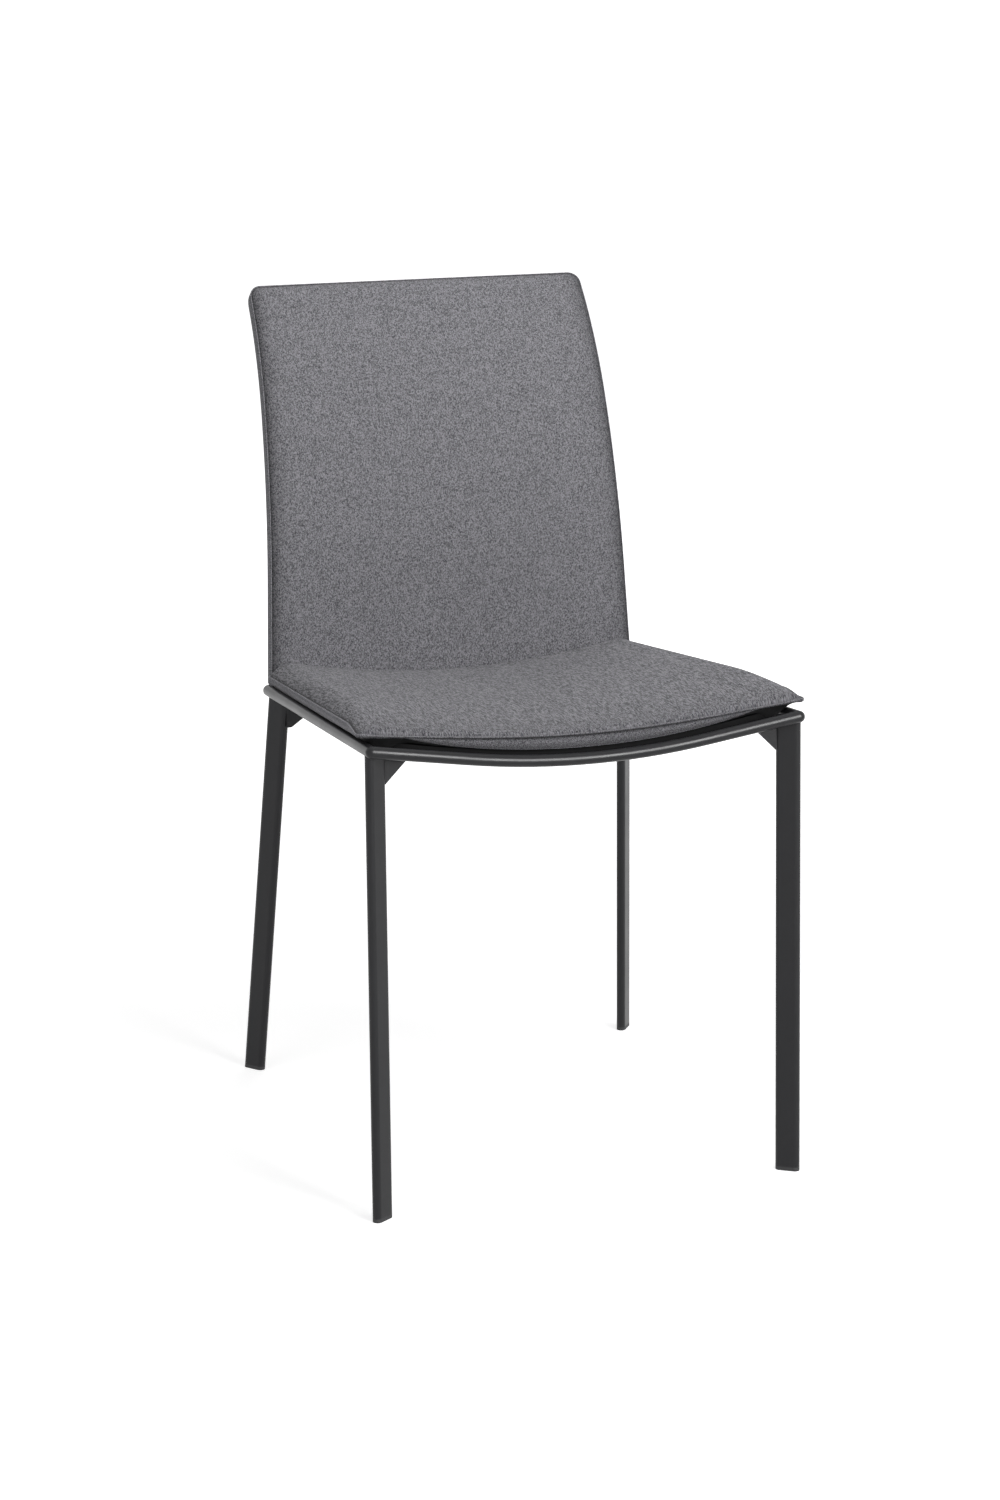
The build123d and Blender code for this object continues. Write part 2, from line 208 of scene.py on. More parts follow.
class ChairFinishSettings(bpy.types.PropertyGroup):
    """Colours and surface of the finishes."""
    wool_dark: colour("Wool, dark fibres", "Darker fibres of the melange", "#4c4c50")
    wool_light: colour("Wool, light fibres", "Lighter fibres of the melange", "#a2a1a6")
    fibre: size("Fibre clump", "Width of one speck of the melange", 1.0)
    steel: colour("Powder coat", "Coat on the steel", "#2a2a2c")
    steel_roughness: share("Powder coat roughness", "Gloss of the coat", 0.33)
    nylon: colour("Nylon", "Glides", "#242426")
    beech: colour("Beech", "Plywood of the back", "#c9a577")
    # Stain and lining are near black partly as their own colour and partly as painted shade: they fill the
    # gap between the seat and its rail with dark
    stain_and_shade: colour("Stain", "Plywood under the seat", "#0f0f10")
    lining: colour("Lining", "Cloth under the seat", "#131314")


class ChairStageSettings(bpy.types.PropertyGroup):
    """Camera and light."""
    camera: place("Camera", "Place of the camera", (-1.24186, -3.66525, 1.38902))
    target: place("Target", "Point that the camera looks at", (0.00029, -0.0063, 0.39095))
    lens: bpy.props.FloatProperty(
        name="Lens", description="Focal length in millimetres", default=92.0, min=1)
    level: bpy.props.FloatProperty(
        name="Light level", description="Factor on all light", default=1.0, min=0)


def in_mm(settings):
    """All lengths of a settings group, in millimetres."""
    return SimpleNamespace(**{key: getattr(settings, key) / MM for key in settings.__annotations__})


# Surfaces

def smoothstep(t):
    """3t^2 - 2t^3 between 0 and 1."""
    t = np.clip(t, 0.0, 1.0)
    return t * t * (3 - 2 * t)


def rounded(t):
    """Height along a quarter circle: 0 at its foot, 1 from t = 1 on."""
    return np.sqrt(1 - (1 - np.clip(t, 0.0, 1.0)) ** 2)


def falling(t, power):
    """1 - (1 - t)^power: rises from 0 and flattens out at 1."""
    return 1 - (1 - np.clip(t, 0.0, 1.0)) ** power


def bell(distance, reach):
    """exp(-(distance / reach)^2): 1 at a place, and gone at about twice the reach."""
    return np.exp(-(distance / reach) ** 2)


def shade(distance, amount, reach):
    """Painted shade near an edge: amount exp(-distance / reach)."""
    return amount * np.exp(-distance / reach)


def edge_spaced(count):
    """Steps from -1 to 1 that crowd towards both ends: a sine with a little of the even steps."""
    even = np.linspace(-1.0, 1.0, count)
    return 0.88 * np.sin(even * math.pi / 2) + 0.12 * even


def corner_cut(across, half, radius):
    """How far a quarter circle at either end of an edge takes the edge back."""
    over = np.clip((np.abs(across) - (half - radius)) / radius, 0, 1)
    return radius * (1 - np.sqrt(1 - over ** 2))


def rim_of(grid):
    """Points round the edge of a grid, once, from its first corner and along its first row."""
    return np.concatenate([grid[0, :-1], grid[:-1, -1], grid[-1, :0:-1], grid[:0:-1, 0]])


def outward(across, along):
    """Unit normals that point out of a closed line in its own plane."""
    step_a = np.roll(across, -1) - np.roll(across, 1)
    step_b = np.roll(along, -1) - np.roll(along, 1)
    length = np.hypot(step_a, step_b)
    return step_b / length, -step_a / length


def welt_profile(width, thickness):
    """Half-round bead beside a stitched groove: how far out and how high it is, and its painted shade,
    dark in the grooves, partly as pressed cloth, and a painted highlight on the bead's crest.

    It starts in the groove at the panel, goes over the bead and ends in the groove at the band.
    """
    out = np.array([0.05, 0.15, 0.3, 0.52, 0.76, 0.94, 1.0, 0.94, 0.6, 0.15])[:, None] * width
    rise = np.array([-0.8, -0.6, 0.3, 0.8, 0.9, 0.55, 0.0, -0.55, -0.95, -1.1])[:, None] * thickness / 2
    # Painted shade: 1 darkens the grooves, and below 0 it is a painted highlight on the bead
    depth = np.array([1.0, 0.8, 0.0, -0.3, -0.3, -0.3, -0.2, 0.1, 0.7, 1.0])[:, None]
    return out, rise, depth


def band_profile(bulge, draw):
    """Band from one seam to the next: its share of the height, and sin(pi s) bulge less s^2 drawn in."""
    steps = np.array([0.08, 0.2, 0.35, 0.5, 0.65, 0.8, 0.92, 1.0])[:, None]
    return steps, bulge * np.sin(math.pi * steps) - draw * steps ** 2


def pillow(name, face, rows, reverse, face_painted_shade, rim_painted_shade, face_weave):
    """Closed mesh of a face grid, rows of points round its rim and a reverse grid of the same shape.

    The rows run from the face's rim to the reverse's rim, point by point. A float attribute is 1 in a
    seam and 0 away from it: it paints shade in the seams and grooves and at the edges, partly the real
    dark of cloth pressed in a seam, and below 0 it paints a highlight. The attribute weave is a place in
    the cloth before it was sewn.
    The reverse takes the second material.
    """
    inner = np.arange(face[..., 0].size).reshape(face.shape[:2])
    count = rim_of(inner).size
    between = inner.size + np.arange(len(rows) * count).reshape(len(rows), count)
    behind = inner.size + between.size + inner
    loops = np.concatenate([rim_of(inner)[None], between, rim_of(behind)[None]])
    upper, lower = loops[:-1], loops[1:]
    front_quads = np.stack([inner[:-1, :-1], inner[:-1, 1:], inner[1:, 1:], inner[1:, :-1]], -1)
    side_quads = np.stack([upper, lower, np.roll(lower, -1, 1), np.roll(upper, -1, 1)], -1)
    back_quads = np.stack([behind[:-1, :-1], behind[1:, :-1], behind[1:, 1:], behind[:-1, 1:]], -1)
    quads = np.concatenate([grid.reshape(-1, 4) for grid in (front_quads, side_quads, back_quads)])
    points = np.concatenate([grid.reshape(-1, 3) for grid in (face, rows, reverse)])
    piece = mesh_object(name, points * MM, quads.tolist())
    # Painted shade on the face and the rim, none on the reverse
    along_rows = np.broadcast_to(rim_painted_shade, between.shape)
    depth = np.concatenate([face_painted_shade.ravel(), along_rows.ravel(), np.zeros(inner.size)])
    piece.data.attributes.new("seam_painted_shade", "FLOAT", "POINT").data.foreach_set(
        "value", depth.astype(np.float32))
    weave = np.concatenate([grid.reshape(-1, 3) for grid in (face_weave, rows, reverse)]) * MM
    piece.data.attributes.new("weave", "FLOAT_VECTOR", "POINT").data.foreach_set(
        "vector", weave.astype(np.float32).ravel())
    lined = np.arange(len(quads)) >= len(quads) - back_quads[..., 0].size
    piece.data.polygons.foreach_set("material_index", lined.astype(np.int32))
    return piece


def laid_out(across, along, stretch):
    """Places in the flat cloth, whose specks are longer along the warp by 1 / stretch."""
    return np.stack([across, along * stretch, np.full(across.shape, WEAVE_LAYER)], -1)


def mesh_object(name, points, faces):
    """Object at the origin with its place in its mesh, shaded smooth."""
    mesh = bpy.data.meshes.new(name)
    mesh.from_pydata(points.tolist(), [], faces)
    mesh.polygons.foreach_set("use_smooth", np.ones(len(mesh.polygons), bool))
    mesh.update()
    piece = bpy.data.objects.new(name, mesh)
    bpy.context.scene.collection.objects.link(piece)
    return piece


def on_ring(across, along, height):
    """Points given across, along and square to the sloping ring plane, in the chair's frame."""
    y = RING_FRONT_Y + along * math.cos(RING_SLOPE) + height * math.sin(RING_SLOPE)
    z = RING_FRONT_HEIGHT - along * math.sin(RING_SLOPE) + height * math.cos(RING_SLOPE)
    return np.stack(np.broadcast_arrays(across, y, z), -1)


def back_line(along):
    """Y, Z and lean of the back's front seam: a straight foot, then two bends backwards."""
    straight = np.minimum(along, BACK_FOOT)
    y = BACK_START[0] + straight * math.sin(BACK_LEAN)
    z = BACK_START[1] + straight * math.cos(BACK_LEAN)
    lean = np.full(np.shape(along), BACK_LEAN)
    left = along - straight
    for radius, turn in BACK_BENDS:
        last = (radius, turn) == BACK_BENDS[-1]
        step = left if last else np.minimum(left, radius * turn)
        end = lean + step / radius
        y = y + radius * (np.cos(lean) - np.cos(end))
        z = z + radius * (np.sin(end) - np.sin(lean))
        lean = end
        left = left - step
    return y, z, lean


def on_back(across, along, depth):
    """Points given across, along and behind the back's front seam, in the chair's frame."""
    y, z, lean = back_line(along)
    return np.stack(np.broadcast_arrays(across, y + depth * np.cos(lean), z - depth * np.sin(lean)), -1)


def swell(piece, from_seam, cap):
    """Blows the face of a pad up like cloth held at its seams, and keeps each point within a cap.

    from_seam is the distance of the face's points, which come first in the mesh, to the nearest seam.
    The cloth runs without gravity, and its result replaces the mesh's points.
    """
    mesh = piece.data
    free = np.zeros(len(mesh.vertices))
    free[:from_seam.size] = np.round(smoothstep((from_seam.ravel() - SEAM_HELD) / SEAM_TO_FREE), 2)
    rest = np.empty(len(mesh.vertices) * 3, np.float32)
    mesh.vertices.foreach_get("co", rest)
    rest = rest.reshape(-1, 3)
    held = piece.vertex_groups.new(name="held")
    for level in np.unique(free):
        held.add(np.nonzero(free == level)[0].tolist(), float(1 - level), "REPLACE")
    cloth = piece.modifiers.new("wool", "CLOTH")
    settings = cloth.settings
    settings.vertex_group_mass = held.name
    settings.pin_stiffness = 1.0
    settings.quality = 6
    settings.mass = 0.3
    settings.tension_stiffness = 25
    settings.compression_stiffness = 25
    settings.shear_stiffness = 10
    settings.bending_stiffness = 4
    settings.use_pressure = True
    settings.uniform_pressure_force = PRESSURE
    settings.effector_weights.gravity = 0
    scene = bpy.context.scene
    for number in range(1, CLOTH_FRAMES + 1):
        scene.frame_set(number)
    graph = bpy.context.evaluated_depsgraph_get()
    blown = np.empty(len(mesh.vertices) * 3, np.float32)
    piece.evaluated_get(graph).data.vertices.foreach_get("co", blown)
    moved = blown.reshape(-1, 3) - rest
    length = np.linalg.norm(moved, axis=1, keepdims=True)
    limit = cap * np.tanh(length / cap) / np.maximum(length, 1e-9)
    piece.modifiers.remove(cloth)
    piece.vertex_groups.remove(held)
    scene.frame_set(1)
    mesh.vertices.foreach_set("co", (rest + moved * limit).astype(np.float32).ravel())
    mesh.update()


# Finishes

def add_node(tree, kind, inputs=None, **settings):
    """Node with its settings, and with values or links on its inputs."""
    node = tree.nodes.new(kind)
    for key, value in settings.items():
        setattr(node, key, value)
    for key, value in (inputs or {}).items():
        if isinstance(value, bpy.types.NodeSocket):
            tree.links.new(value, node.inputs[key])
        else:
            node.inputs[key].default_value = value
    return node


def new_material(name):
    """Empty node material with its shader, its output and the object's own coordinates."""
    material = bpy.data.materials.new(name)
    material.use_nodes = True
    tree = material.node_tree
    tree.nodes.clear()
    shader = add_node(tree, "ShaderNodeBsdfPrincipled")
    add_node(tree, "ShaderNodeOutputMaterial", {"Surface": shader.outputs["BSDF"]})
    return material, tree, shader, add_node(tree, "ShaderNodeTexCoord").outputs["Object"]


def per_metre(width_mm):
    """Texture scale whose specks are about as wide as given."""
    return 1 / (width_mm * MM)


def shaded(tint, factor):
    """Colour made lighter or darker by a factor."""
    return (*(factor * channel for channel in tint[:3]), 1.0)


def wool_felt(finish):
    """Felted wool blend, woven and then raised: a matt nap in which light and dark fibres mix.

    The specks are about as coarse as the camera can show. They run along the warp, which goes
    front to rear on the seat and upwards on the back. The cloth is darker where a seam presses it, and an
    attribute of the pads adds painted shade in seams and grooves and at the edges, and a painted highlight
    on the welt's crest.
    """
    material, tree, shader, _ = new_material("felted_wool_blend")
    warp = add_node(tree, "ShaderNodeAttribute", attribute_name="weave").outputs["Vector"]
    clump = per_metre(finish.fibre / MM)
    specks = add_node(tree, "ShaderNodeTexNoise", {
        "Vector": warp, "Scale": clump, "Detail": 2.0, "Roughness": 0.6})
    fibres = add_node(tree, "ShaderNodeTexNoise", {
        "Vector": warp, "Scale": clump * 2.1, "Detail": 1.0, "Roughness": 0.5})
    mixed = add_node(tree, "ShaderNodeMix", {
        0: 0.35, 2: specks.outputs["Fac"], 3: fibres.outputs["Fac"]}, data_type="FLOAT")
    spread = add_node(tree, "ShaderNodeMapRange", {"Value": mixed.outputs[0], 1: 0.415, 2: 0.585})
    melange = add_node(tree, "ShaderNodeMix", {
        0: spread.outputs[0], 6: finish.wool_dark, 7: finish.wool_light}, data_type="RGBA")
    # Painted shade and highlight from the pads' attribute: 1 darkens the cloth to 0.28 of its colour,
    # below 0 lightens it
    seam = add_node(tree, "ShaderNodeAttribute", attribute_name="seam_painted_shade")
    painted_shade_factor = add_node(tree, "ShaderNodeMapRange", {
        "Value": seam.outputs["Fac"], 3: 1.0, 4: 0.28}, clamp=False)
    pressed = add_node(tree, "ShaderNodeMix", {
        0: 1.0, 6: melange.outputs[2], 7: painted_shade_factor.outputs[0]}, data_type="RGBA", blend_type="MULTIPLY")
    nap = add_node(tree, "ShaderNodeBump", {
        "Strength": 0.35, "Distance": 0.4 * MM, "Height": mixed.outputs[0]})
    tree.links.new(pressed.outputs[2], shader.inputs["Base Color"])
    tree.links.new(nap.outputs["Normal"], shader.inputs["Normal"])
    shader.inputs["Roughness"].default_value = 0.95
    shader.inputs["Specular IOR Level"].default_value = 0.15
    shader.inputs["Sheen Weight"].default_value = 0.1
    shader.inputs["Sheen Roughness"].default_value = 0.6
    return material


def nonwoven_lining(finish):
    """Spun-bonded lining, pressed with a point pattern: matt black with small dimples, so dark partly as
    painted shade in the gap under the seat.
    """
    material, tree, shader, spot = new_material("black_nonwoven_lining_and_shade")
    dimples = add_node(tree, "ShaderNodeTexVoronoi", {"Vector": spot, "Scale": per_metre(2.0)})
    tint = add_node(tree, "ShaderNodeMix", {
        0: dimples.outputs["Distance"], 6: shaded(finish.lining, 0.7), 7: finish.lining}, data_type="RGBA")
    bump = add_node(tree, "ShaderNodeBump", {
        "Strength": 0.3, "Distance": 0.2 * MM, "Height": dimples.outputs["Distance"]})
    tree.links.new(tint.outputs[2], shader.inputs["Base Color"])
    tree.links.new(bump.outputs["Normal"], shader.inputs["Normal"])
    shader.inputs["Roughness"].default_value = 0.9
    shader.inputs["Specular IOR Level"].default_value = 0.15
    return material


def powder_coat(finish):
    """Polyester powder baked on steel: a satin skin with a fine orange peel."""
    material, tree, shader, spot = new_material("satin_powder_coated_steel")
    peel = add_node(tree, "ShaderNodeTexNoise", {"Vector": spot, "Scale": per_metre(1.6), "Detail": 1.0})
    cloud = add_node(tree, "ShaderNodeTexNoise", {"Vector": spot, "Scale": per_metre(45.0), "Detail": 3.0})
    tint = add_node(tree, "ShaderNodeMix", {
        0: cloud.outputs["Fac"], 6: shaded(finish.steel, 0.85),
        7: shaded(finish.steel, 1.1)}, data_type="RGBA")
    gloss = add_node(tree, "ShaderNodeMapRange", {
        "Value": cloud.outputs["Fac"], 1: 0.3, 2: 0.7,
        3: finish.steel_roughness - 0.04, 4: finish.steel_roughness + 0.04})
    bump = add_node(tree, "ShaderNodeBump", {
        "Strength": 0.12, "Distance": 0.05 * MM, "Height": peel.outputs["Fac"]})
    tree.links.new(tint.outputs[2], shader.inputs["Base Color"])
    tree.links.new(gloss.outputs[0], shader.inputs["Roughness"])
    tree.links.new(bump.outputs["Normal"], shader.inputs["Normal"])
    shader.inputs["Specular IOR Level"].default_value = 0.35
    shader.inputs["Specular Tint"].default_value = linear("#cbcbcb")
    return material


def moulded_nylon(finish):
    """Nylon from a sparked mould: matt, with a fine even grain."""
    material, tree, shader, spot = new_material("moulded_nylon")
    grain = add_node(tree, "ShaderNodeTexNoise", {"Vector": spot, "Scale": per_metre(0.8), "Detail": 2.0})
    tint = add_node(tree, "ShaderNodeMix", {
        0: grain.outputs["Fac"], 6: shaded(finish.nylon, 0.8),
        7: shaded(finish.nylon, 1.15)}, data_type="RGBA")
    bump = add_node(tree, "ShaderNodeBump", {
        "Strength": 0.2, "Distance": 0.05 * MM, "Height": grain.outputs["Fac"]})
    tree.links.new(tint.outputs[2], shader.inputs["Base Color"])
    tree.links.new(bump.outputs["Normal"], shader.inputs["Normal"])
    shader.inputs["Roughness"].default_value = 0.6
    shader.inputs["IOR"].default_value = 1.53
    return material


def zinc_plate():
    """Steel with black passivated zinc: dark metal, a little uneven."""
    material, tree, shader, spot = new_material("black_zinc_plated_steel")
    cloud = add_node(tree, "ShaderNodeTexNoise", {"Vector": spot, "Scale": per_metre(3.0), "Detail": 2.0})
    tint = add_node(tree, "ShaderNodeMix", {
        0: cloud.outputs["Fac"], 6: linear("#2b2b2d"), 7: linear("#3a3a3c")}, data_type="RGBA")
    tree.links.new(tint.outputs[2], shader.inputs["Base Color"])
    shader.inputs["Metallic"].default_value = 1.0
    shader.inputs["Roughness"].default_value = 0.4
    return material


def plywood(name, tint, gloss):
    """Peeled veneers pressed in a mould, plain or stained: long soft grain across the board."""
    material, tree, shader, spot = new_material(name)
    stretched = add_node(tree, "ShaderNodeMapping", {"Vector": spot, "Scale": (0.08, 1.0, 1.0)})
    grain = add_node(tree, "ShaderNodeTexNoise", {
        "Vector": stretched.outputs[0], "Scale": per_metre(4.0), "Detail": 4.0})
    veneer = add_node(tree, "ShaderNodeMix", {
        0: grain.outputs["Fac"], 6: shaded(tint, 0.75), 7: shaded(tint, 1.2)}, data_type="RGBA")
    tree.links.new(veneer.outputs[2], shader.inputs["Base Color"])
    shader.inputs["Roughness"].default_value = 0.75
    shader.inputs["Specular IOR Level"].default_value = gloss
    return material


def finish_pad(context, piece, *nodes):
    """Gives a pad its cloth and lining, its body and the nodes that it stands for."""
    finish = context.scene.chair_finish
    cloth = bpy.data.materials.get("felted_wool_blend") or wool_felt(finish)
    lining = bpy.data.materials.get("black_nonwoven_lining_and_shade") or nonwoven_lining(finish)
    piece.data.materials.append(cloth)
    piece.data.materials.append(lining)
    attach(piece, BODY)
    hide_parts(*nodes)


class CHAIR_OT_finishes(bpy.types.Operator):
    """Give every steel, nylon and wooden part of the frame its finish"""
    bl_idname = "chair.finishes"
    bl_label = "Finish the frame"

    def execute(self, context):
        """Each CAD node takes the material of its record slot."""
        finish = context.scene.chair_finish
        finishes = {
            "frame_steel": powder_coat(finish),
            "glide_plastic": moulded_nylon(finish),
            "plywood": plywood("moulded_beech_plywood", finish.beech, 0.4),
            "stained_plywood": plywood("black_stained_plywood_and_shade", finish.stain_and_shade, 0.1),
        }
        for part in frame["record"]["subparts"]:
            material = finishes.get(part["material_slot"])
            if material:
                materials = frame["nodes"][part["node"]].data.materials
                materials.clear()
                materials.append(material)
        return {"FINISHED"}


def back_half(back, along):
    """Half width of the back's front panel, which narrows evenly with height."""
    z = back_line(along)[1]
    top = back_line(np.array(BACK_LENGTH))[1]
    rise = (z - BACK_START[1]) / (top - BACK_START[1])
    width = back.bottom_width + (back.top_width - back.bottom_width) * rise
    return width / 2 - back.welt + PANEL_EASE


def back_proud(back, edge, middle):
    """How far the back's front stands out of its seam: a rounded edge and a crown.

    edge is the distance to the nearest edge, and middle is 0 at the middle and 1 at the sides.
    """
    return back.puff * rounded(edge / back.shoulder) + back.crown * (1 - np.abs(middle) ** CROWN_POWER)


class CHAIR_OT_seat(bpy.types.Operator):
    """Make the padded seat with its welt, band and lining"""
    bl_idname = "chair.seat"
    bl_label = "Seat pad"

    def execute(self, context):
        """Top panel, welt, band and underside over a trapezium with small round front corners."""
        seat = in_mm(context.scene.chair_seat)
        back = in_mm(context.scene.chair_back)
        inset = seat.welt - seat.overhang
        front = seat.setback + inset

        def half(y):
            """Half width of the top panel."""
            rise = (y - seat.setback) / (SEAT_END - seat.setback)
            return (seat.front_width + (seat.rear_width - seat.front_width) * rise) / 2 - inset

        def saddle(x):
            """Height of the underside, bent across."""
            return seat.underside + x ** 2 / (2 * seat.saddle)

        def front_height(powers, x):
            """Height along the front edge."""
            return np.polyval(powers, (x / FRONT_UNIT) ** 2)

        def band_height(y):
            """Height of the side band, which shrinks towards the front corners."""
            return seat.ear + (seat.band - seat.ear) * smoothstep((y - front) / seat.ear_length)

        # Plan of the top panel: the rear edge follows the front of the back.
        a = edge_spaced(121)[None, :]
        b = (edge_spaced(121)[:, None] + 1) / 2
        x = a * half(front + (SEAT_END - front) * b)
        front_edge = front + corner_cut(a * half(front), half(front), seat.corner)
        back_edge = back_half(back, np.array(SEAT_MEETS_BACK))
        rear_edge = SEAT_END - back_proud(back, back_edge - np.abs(x), x / back_edge)
        y = front_edge + (rear_edge - front_edge) * b
        from_side, from_front, from_rear = half(y) - np.abs(x), y - front_edge, rear_edge - y

        # Top: a dish across, rolled down to the front seam, with shoulders down to the side seams.
        crest = seat.underside + seat.thickness + x ** 2 / (2 * seat.dish)
        front_seam = seat.underside + front_height(FRONT_SEAM, x)
        nose = NOSE * rounded(from_front / NOSE_LENGTH)
        roll = nose + (1 - NOSE) * falling(from_front / seat.roll, 2)
        top = front_seam + (crest - front_seam) * roll
        side_seam = saddle(half(y)) + band_height(y)
        at_corner = bell(np.hypot(half(front) - np.abs(x), y - front), CORNER_REACH)
        lip = LIP + CORNER_LIP * at_corner
        height = side_seam + lip + (top - side_seam) * falling(from_side / seat.shoulder, 2.2)
        height = height - REAR_TUCK * (1 - rounded(from_rear / REAR_TUCK_LENGTH))
        face = on_ring(x, y, height)
        # Painted shade on the top: along the side and rear seams, over the front roll and before the back;
        # next to the seams it is partly the real dark of pressed cloth
        pressed = np.minimum(from_side, from_rear + REAR_OPEN)
        face_painted_shade = (
            shade(pressed, *SEAM_SHADE) + shade(from_front, *FRONT_SHADE) + shade(from_rear, *REAR_SHADE))

        # Underside: the saddle, lifted to the band along the front and sagging along the sides and behind
        # the front corners, where the near-black lining hangs as painted shade in the gap over the rail.
        middle = (front + SEAT_END) / 2
        under_x = x * REVERSE_SCALE
        under_y = middle + (y - middle) * REVERSE_SCALE
        front_drop = np.maximum(front_height(FRONT_BAND, x), BAND_LEAST)
        lift = np.maximum(0, front_seam - front_drop - saddle(x))
        lift = lift * np.exp(-from_front / FRONT_LIFT_LENGTH)
        ear = bell(np.abs(x) - EAR_PLACE[0], EAR_REACH[0]) * bell(y - EAR_PLACE[1], EAR_REACH[1])
        sag = SIDE_SAG * bell(from_side - SIDE_SAG_IN, SIDE_SAG_REACH) + EAR_SAG * ear
        sag = sag * (1 - bell(from_front, SAG_START))
        reverse = on_ring(under_x, under_y, saddle(under_x) + lift - sag)

        # Rim: the welt, which fades out at the back, and the band below it.
        rim_x, rim_y = rim_of(x), rim_of(y)
        normal_x, normal_y = outward(rim_x, rim_y)
        seam = rim_of(height - lip)
        fade = smoothstep(rim_of(from_rear) / WELT_FADE)
        on_front = np.arange(rim_x.size) < x.shape[1] - 1
        side_drop = band_height(rim_y) - seat.ear + BAND_LEAST
        drop = np.where(on_front, rim_of(front_drop), side_drop)
        out, rise, rim_painted_shade = welt_profile(seat.welt, WELT_HEIGHT + CORNER_WELT * rim_of(at_corner))
        out = out * fade
        steps, bow = band_profile(0.8, np.where(on_front, 4.5, 1.8))
        level = seam + rise[-1] + (0.4 - drop - rise[-1]) * steps
        rows = np.concatenate([
            on_ring(rim_x + normal_x * out, rim_y + normal_y * out, seam + rise),
            on_ring(rim_x + normal_x * bow, rim_y + normal_y * bow, level)])
        # Painted shade on the rim: in the welt's grooves, under the welt and towards the foot of the front
        # band, a painted shadow line under the front welt, and a painted highlight on the side welt's
        # crest
        side_painted_shade = np.concatenate([rim_painted_shade, 0.5 * np.exp(-steps * 8)])
        front_seam_painted_shadow = np.array([0, 0, 0, 0, 0, 0.1, 0.4, 0.9, 1.2, 1.25])[:, None]
        front_painted_shade = np.concatenate([front_seam_painted_shadow, 1.2 * np.exp(-(steps / 0.18) ** 2) + 0.6 * steps ** 2])
        rim_painted_shade = np.where(on_front, front_painted_shade, side_painted_shade)
        piece = pillow(
            "seat_pad", face, rows, reverse, face_painted_shade, rim_painted_shade,
            laid_out(x, y + FRONT_SLACK * (1 - np.exp(-from_front / FRONT_SLACK_LENGTH)), SEAT_WARP))
        swell(piece, np.minimum(pressed, from_front), SEAT_SWELL * MM)
        finish_pad(context, piece, "seat_cover", "seat_foam", "seat_under_cover")
        return {"FINISHED"}


class CHAIR_OT_screws(bpy.types.Operator):
    """Make the four screws that hold the seat to its tabs"""
    bl_idname = "chair.screws"
    bl_label = "Seat screws"

    def execute(self, context):
        """Button heads with a round socket: a profile turned about each screw's own axis."""
        screw = in_mm(context.scene.chair_screw)
        head, socket = screw.head / 2, screw.socket / 2
        arc = np.linspace(0, math.pi / 2, 9)
        radius = np.concatenate([
            [head, head], head * 0.5 + head * 0.5 * np.cos(arc), [socket, socket * 0.95]])[:, None]
        depth = np.concatenate([
            [-0.6, 0], screw.height * (0.3 + 0.7 * np.sin(arc)), [screw.height, 1.0]])[:, None]
        turn = np.linspace(0, 2 * math.pi, 48, endpoint=False)[None, :]
        side, along = radius * np.cos(turn), radius * np.sin(turn)
        points, faces = [], []
        for station in TAB_PLACES:
            for hand in (-1, 1):
                x = hand * (RING_HALF[0] + RING_HALF[1] * station - TAB_REACH)
                lean = x / TAB_BEND
                height = TAB_UNDER + TAB_BEND * (1 - math.cos(lean))
                across = x + side * math.cos(lean) + depth * math.sin(lean)
                level = height + side * math.sin(lean) - depth * math.cos(lean)
                start = sum(len(group) for group in points)
                index = start + np.arange(radius.size * turn.size).reshape(radius.size, -1)
                low, high = index[:-1], index[1:]
                quads = np.stack([low, np.roll(low, -1, 1), np.roll(high, -1, 1), high], -1)
                points.append(on_ring(across, station + along, level).reshape(-1, 3))
                faces += quads.reshape(-1, 4)[:, ::-1].tolist()
                faces += [index[0].tolist(), index[-1, ::-1].tolist()]
        piece = mesh_object("seat_screws", np.concatenate(points) * MM, faces)
        piece.data.materials.append(zinc_plate())
        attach(piece, BODY)
        return {"FINISHED"}


def back_grid(back, low, high, columns, lines):
    """Places across and along the back between two ends, and its upper edge with rounded corners."""
    a = edge_spaced(columns)[None, :]
    b = (edge_spaced(lines)[:, None] + 1) / 2
    top_half = back_half(back, np.array(high))
    upper = high - corner_cut(a * top_half, top_half, back.corner - back.welt)
    along = low + (upper - low) * b
    across = a * back_half(back, low + (high - low) * b)
    return across, along, upper


